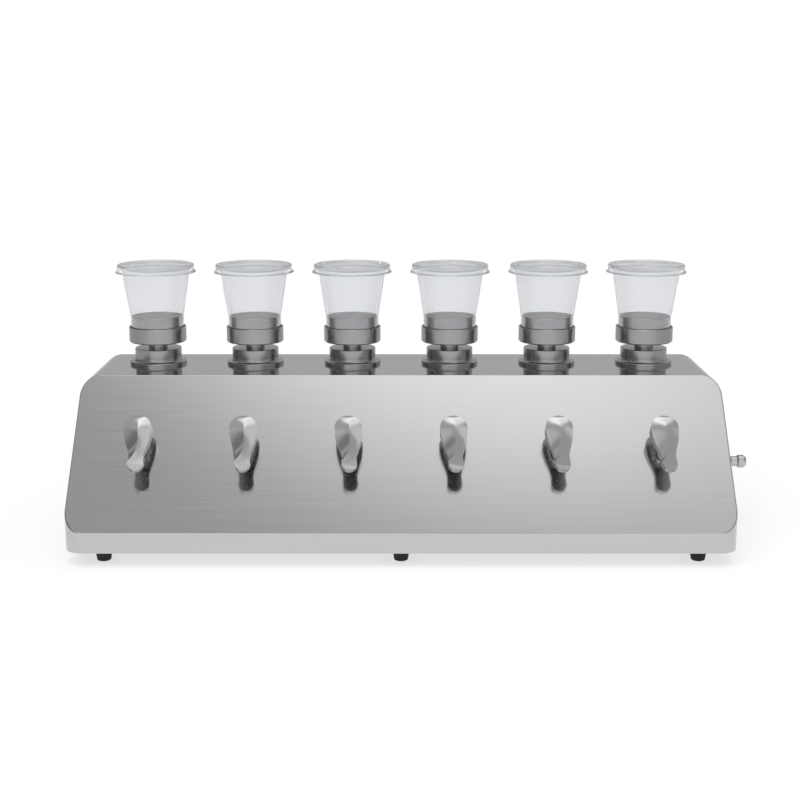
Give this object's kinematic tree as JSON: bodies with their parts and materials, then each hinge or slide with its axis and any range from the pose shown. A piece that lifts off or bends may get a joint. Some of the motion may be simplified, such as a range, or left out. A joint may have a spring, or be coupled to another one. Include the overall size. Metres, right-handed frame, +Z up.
{
  "type": "vacuum filtration manifold",
  "caption": "Bench vacuum filtration manifold: steel desk-shaped console, lever valves on its sloped front, filter heads with clear lidded cups on top and a side hose tail.",
  "frame": {"origin": "on the table, under the middle of the whole object's box", "axes": "+Z up; +X along the row of stations towards the hose tail; the sloped front panel faces -Y"},
  "size_m": [0.669, 0.231, 0.2622],
  "materials": {
    "brushed_sheet": "brushed, semi-bright",
    "cover_sheet": "brushed",
    "turned_steel": "fine turned",
    "sintered_steel": "sintered, matt",
    "lever_steel": "satin cast",
    "pipe_steel": "drawn",
    "tail_steel": "polished",
    "screw_steel": "bright",
    "valve_brass": "machined",
    "clear_polypropylene": "translucent moulded",
    "lid_polypropylene": "translucent moulded",
    "foot_rubber": "moulded matt",
    "seal_rubber": "moulded",
    "silicone": "extruded, milky",
    "bracket_plastic": "moulded"
  },
  "bodies": {
    "console": {"housing_shell": "brushed_sheet", "rear_panel": "cover_sheet", "base_plate": "cover_sheet", "rubber_feet": "foot_rubber", "case_screws": "screw_steel", "deck_nuts": "screw_steel", "header_pipe": "pipe_steel", "pipe_brackets": "bracket_plastic", "silicone_tubes": "silicone", "hose_tail": "tail_steel", "outlet_nut": "screw_steel", "valve_bodies": "valve_brass", "deck_flange_1": "turned_steel", "deck_flange_2": "turned_steel", "deck_flange_3": "turned_steel", "deck_flange_4": "turned_steel", "deck_flange_5": "turned_steel", "deck_flange_6": "turned_steel"},
    "lever_unit_1": {"lever_1": "lever_steel", "valve_spindle_1": "pipe_steel"},
    "head_unit_1": {"filter_head_1": "turned_steel", "support_screen_1": "sintered_steel", "head_seal_1": "seal_rubber"},
    "cup_unit_1": {"cup_1": "clear_polypropylene"},
    "lid_unit_1": {"lid_1": "lid_polypropylene"},
    "lever_unit_2": {"lever_2": "lever_steel", "valve_spindle_2": "pipe_steel"},
    "head_unit_2": {"filter_head_2": "turned_steel", "support_screen_2": "sintered_steel", "head_seal_2": "seal_rubber"},
    "cup_unit_2": {"cup_2": "clear_polypropylene"},
    "lid_unit_2": {"lid_2": "lid_polypropylene"},
    "lever_unit_3": {"lever_3": "lever_steel", "valve_spindle_3": "pipe_steel"},
    "head_unit_3": {"filter_head_3": "turned_steel", "support_screen_3": "sintered_steel", "head_seal_3": "seal_rubber"},
    "cup_unit_3": {"cup_3": "clear_polypropylene"},
    "lid_unit_3": {"lid_3": "lid_polypropylene"},
    "lever_unit_4": {"lever_4": "lever_steel", "valve_spindle_4": "pipe_steel"},
    "head_unit_4": {"filter_head_4": "turned_steel", "support_screen_4": "sintered_steel", "head_seal_4": "seal_rubber"},
    "cup_unit_4": {"cup_4": "clear_polypropylene"},
    "lid_unit_4": {"lid_4": "lid_polypropylene"},
    "lever_unit_5": {"lever_5": "lever_steel", "valve_spindle_5": "pipe_steel"},
    "head_unit_5": {"filter_head_5": "turned_steel", "support_screen_5": "sintered_steel", "head_seal_5": "seal_rubber"},
    "cup_unit_5": {"cup_5": "clear_polypropylene"},
    "lid_unit_5": {"lid_5": "lid_polypropylene"},
    "lever_unit_6": {"lever_6": "lever_steel", "valve_spindle_6": "pipe_steel"},
    "head_unit_6": {"filter_head_6": "turned_steel", "support_screen_6": "sintered_steel", "head_seal_6": "seal_rubber"},
    "cup_unit_6": {"cup_6": "clear_polypropylene"},
    "lid_unit_6": {"lid_6": "lid_polypropylene"}
  },
  "joints": [
    {"name": "lever_turn_1", "type": "hinge", "parent": "console", "child": "lever_unit_1", "pos_m": [-0.2695, -0.05961, 0.09393], "axis": [0, -0.7341, 0.679], "range_deg": [0, 90]},
    {"name": "head_lift_1", "type": "slide", "parent": "console", "child": "head_unit_1", "axis": [0, 0, 1], "range_m": [0, 0.03]},
    {"name": "cup_lift_1", "type": "slide", "parent": "head_unit_1", "child": "cup_unit_1", "axis": [0, 0, 1], "range_m": [0, 0.03]},
    {"name": "lid_lift_1", "type": "slide", "parent": "cup_unit_1", "child": "lid_unit_1", "axis": [0, 0, 1], "range_m": [0, 0.03]},
    {"name": "lever_turn_2", "type": "hinge", "parent": "console", "child": "lever_unit_2", "pos_m": [-0.1695, -0.05961, 0.09393], "axis": [0, -0.7341, 0.679], "range_deg": [0, 90]},
    {"name": "head_lift_2", "type": "slide", "parent": "console", "child": "head_unit_2", "axis": [0, 0, 1], "range_m": [0, 0.03]},
    {"name": "cup_lift_2", "type": "slide", "parent": "head_unit_2", "child": "cup_unit_2", "axis": [0, 0, 1], "range_m": [0, 0.03]},
    {"name": "lid_lift_2", "type": "slide", "parent": "cup_unit_2", "child": "lid_unit_2", "axis": [0, 0, 1], "range_m": [0, 0.03]},
    {"name": "lever_turn_3", "type": "hinge", "parent": "console", "child": "lever_unit_3", "pos_m": [-0.0695, -0.05961, 0.09393], "axis": [0, -0.7341, 0.679], "range_deg": [0, 90]},
    {"name": "head_lift_3", "type": "slide", "parent": "console", "child": "head_unit_3", "axis": [0, 0, 1], "range_m": [0, 0.03]},
    {"name": "cup_lift_3", "type": "slide", "parent": "head_unit_3", "child": "cup_unit_3", "axis": [0, 0, 1], "range_m": [0, 0.03]},
    {"name": "lid_lift_3", "type": "slide", "parent": "cup_unit_3", "child": "lid_unit_3", "axis": [0, 0, 1], "range_m": [0, 0.03]},
    {"name": "lever_turn_4", "type": "hinge", "parent": "console", "child": "lever_unit_4", "pos_m": [0.0305, -0.05961, 0.09393], "axis": [0, -0.7341, 0.679], "range_deg": [0, 90]},
    {"name": "head_lift_4", "type": "slide", "parent": "console", "child": "head_unit_4", "axis": [0, 0, 1], "range_m": [0, 0.03]},
    {"name": "cup_lift_4", "type": "slide", "parent": "head_unit_4", "child": "cup_unit_4", "axis": [0, 0, 1], "range_m": [0, 0.03]},
    {"name": "lid_lift_4", "type": "slide", "parent": "cup_unit_4", "child": "lid_unit_4", "axis": [0, 0, 1], "range_m": [0, 0.03]},
    {"name": "lever_turn_5", "type": "hinge", "parent": "console", "child": "lever_unit_5", "pos_m": [0.1305, -0.05961, 0.09393], "axis": [0, -0.7341, 0.679], "range_deg": [0, 90]},
    {"name": "head_lift_5", "type": "slide", "parent": "console", "child": "head_unit_5", "axis": [0, 0, 1], "range_m": [0, 0.03]},
    {"name": "cup_lift_5", "type": "slide", "parent": "head_unit_5", "child": "cup_unit_5", "axis": [0, 0, 1], "range_m": [0, 0.03]},
    {"name": "lid_lift_5", "type": "slide", "parent": "cup_unit_5", "child": "lid_unit_5", "axis": [0, 0, 1], "range_m": [0, 0.03]},
    {"name": "lever_turn_6", "type": "hinge", "parent": "console", "child": "lever_unit_6", "pos_m": [0.2305, -0.05961, 0.09393], "axis": [0, -0.7341, 0.679], "range_deg": [0, 90]},
    {"name": "head_lift_6", "type": "slide", "parent": "console", "child": "head_unit_6", "axis": [0, 0, 1], "range_m": [0, 0.03]},
    {"name": "cup_lift_6", "type": "slide", "parent": "head_unit_6", "child": "cup_unit_6", "axis": [0, 0, 1], "range_m": [0, 0.03]},
    {"name": "lid_lift_6", "type": "slide", "parent": "cup_unit_6", "child": "lid_unit_6", "axis": [0, 0, 1], "range_m": [0, 0.03]}
  ]
}
